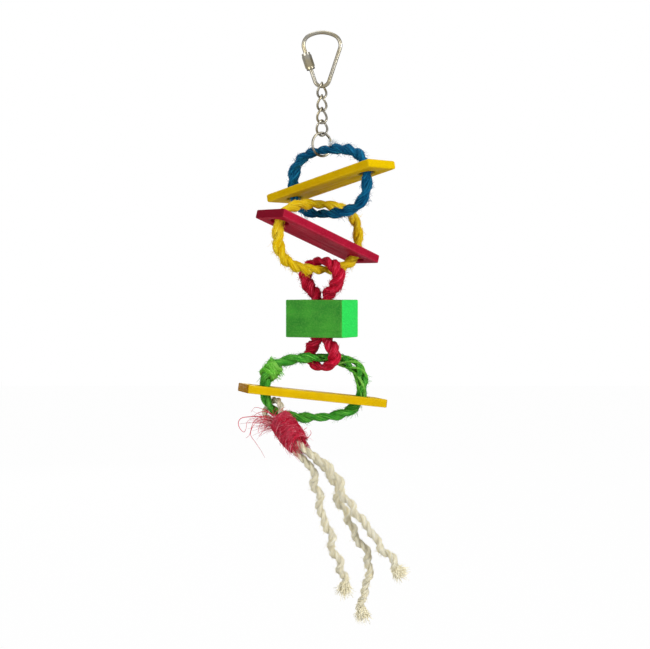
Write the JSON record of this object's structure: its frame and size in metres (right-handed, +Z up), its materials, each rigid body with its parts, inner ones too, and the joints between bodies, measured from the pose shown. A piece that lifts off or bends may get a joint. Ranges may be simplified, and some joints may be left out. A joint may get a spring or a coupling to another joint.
{
  "type": "hanging bird toy",
  "caption": "Hanging chew toy for cage birds: quick link and chain above linked rope rings with painted wood slats, a block and a rope tassel.",
  "frame": {"origin": "the hang point, on the inside of the quick link's top bend", "axes": "+Z up, +X to the right and +Y away from the viewer, as the toy hangs in the picture"},
  "size_m": [0.1073, 0.0871, 0.3793],
  "materials": {
    "nickel": "bright nickel plate",
    "blue_rope": "dyed two-strand sisal",
    "yellow_rope": "dyed two-strand sisal",
    "red_rope": "dyed two-strand sisal",
    "green_rope": "dyed two-strand sisal",
    "natural_rope": "undyed sisal strands",
    "red_winding": "dyed sisal yarn",
    "yellow_paint": "thin yellow paint on pine",
    "red_paint": "thin red paint on pine",
    "green_paint": "thin green paint on pine"
  },
  "bodies": {
    "quick_link": {"pear_link": "nickel"},
    "sleeve": {"link_sleeve": "nickel"},
    "chain_1": {"chain_link_1": "nickel"},
    "chain_2": {"chain_link_2": "nickel"},
    "chain_3": {"chain_link_3": "nickel"},
    "chain_4": {"chain_link_4": "nickel"},
    "jump": {"jump_ring": "nickel"},
    "blue": {"blue_rope_ring": "blue_rope"},
    "top_board": {"top_slat": "yellow_paint"},
    "yellow": {"yellow_rope_ring": "yellow_rope"},
    "red_board": {"red_slat": "red_paint"},
    "red": {"red_rope_loop": "red_rope"},
    "block": {"green_block": "green_paint"},
    "green": {"green_rope_ring": "green_rope"},
    "lower_board": {"lower_slat": "yellow_paint"},
    "tassel": {"tassel_loop": "natural_rope", "red_wrap": "red_winding"},
    "left_tail": {"tail_left": "natural_rope"},
    "middle_tail": {"tail_middle": "natural_rope"},
    "right_tail": {"tail_right": "natural_rope"}
  },
  "joints": [
    {"name": "sleeve_slide", "type": "slide", "parent": "quick_link", "child": "sleeve", "axis": [0.3162, 0, -0.9487], "range_m": [0, 0.0056]},
    {"name": "chain_1_swing", "type": "hinge", "parent": "quick_link", "child": "chain_1", "pos_m": [0, 0, -0.03385], "axis": [1, 0, 0], "range_deg": [-25, 25]},
    {"name": "chain_2_swing", "type": "hinge", "parent": "chain_1", "child": "chain_2", "pos_m": [0, 0, -0.04155], "axis": [1, 0, 0], "range_deg": [-25, 25]},
    {"name": "chain_3_swing", "type": "hinge", "parent": "chain_2", "child": "chain_3", "pos_m": [0, 0, -0.04975], "axis": [-0.9998, 0.0175, 0], "range_deg": [-25, 25]},
    {"name": "chain_4_swing", "type": "hinge", "parent": "chain_3", "child": "chain_4", "pos_m": [0, 0, -0.05795], "axis": [0.9903, -0.1392, 0], "range_deg": [-25, 25]},
    {"name": "jump_ring_swing", "type": "hinge", "parent": "chain_4", "child": "jump", "pos_m": [0, 0, -0.06615], "axis": [-0.8746, 0.4848, 0], "range_deg": [-25, 25]},
    {"name": "blue_ring_swing", "type": "hinge", "parent": "jump", "child": "blue", "pos_m": [0, 0, -0.0795], "axis": [0.809, 0.5878, 0], "range_deg": [-15, 15]},
    {"name": "top_slat_rock", "type": "hinge", "parent": "blue", "child": "top_board", "pos_m": [0.00482, -0.00482, -0.0969], "axis": [0.694, -0.694, 0.1913], "range_deg": [-8, 8]},
    {"name": "yellow_ring_swing", "type": "hinge", "parent": "blue", "child": "yellow", "pos_m": [0, 0, -0.1172], "axis": [0.7071, -0.7071, 0], "range_deg": [-15, 15]},
    {"name": "red_slat_rock", "type": "hinge", "parent": "yellow", "child": "red_board", "pos_m": [-0.00184, -0.00197, -0.1327], "axis": [0.6521, 0.6993, -0.2929], "range_deg": [-8, 8]},
    {"name": "red_loop_swing", "type": "hinge", "parent": "yellow", "child": "red", "pos_m": [0, 0, -0.15409], "axis": [0.682, 0.7314, 0], "range_deg": [-15, 15]},
    {"name": "block_turn", "type": "hinge", "parent": "red", "child": "block", "pos_m": [0, 0, -0.18599], "axis": [0, 0, 1], "range_deg": [-40, 40]},
    {"name": "green_ring_swing", "type": "hinge", "parent": "red", "child": "green", "pos_m": [0, 0, -0.21779], "axis": [0.8192, -0.5736, 0], "range_deg": [-12, 12]},
    {"name": "lower_slat_rock", "type": "hinge", "parent": "green", "child": "lower_board", "pos_m": [-0.00597, -0.00194, -0.23649], "axis": [0.944, 0.3067, -0.1217], "range_deg": [-8, 8]},
    {"name": "tassel_swing", "type": "hinge", "parent": "green", "child": "tassel", "pos_m": [-0.03234, -0.01051, -0.24478], "axis": [0.7392, 0.2402, -0.6292], "range_deg": [-12, 12]},
    {"name": "tail_left_swing", "type": "hinge", "parent": "tassel", "child": "left_tail", "pos_m": [-0.01469, -0.03169, -0.26666], "axis": [1, 0, 0], "range_deg": [-10, 10]},
    {"name": "tail_middle_swing", "type": "hinge", "parent": "tassel", "child": "middle_tail", "pos_m": [-0.01469, -0.03169, -0.26666], "axis": [1, 0, 0], "range_deg": [0, 10]},
    {"name": "tail_right_swing", "type": "hinge", "parent": "tassel", "child": "right_tail", "pos_m": [-0.01469, -0.03169, -0.26666], "axis": [1, 0, 0], "range_deg": [-10, 0]}
  ]
}
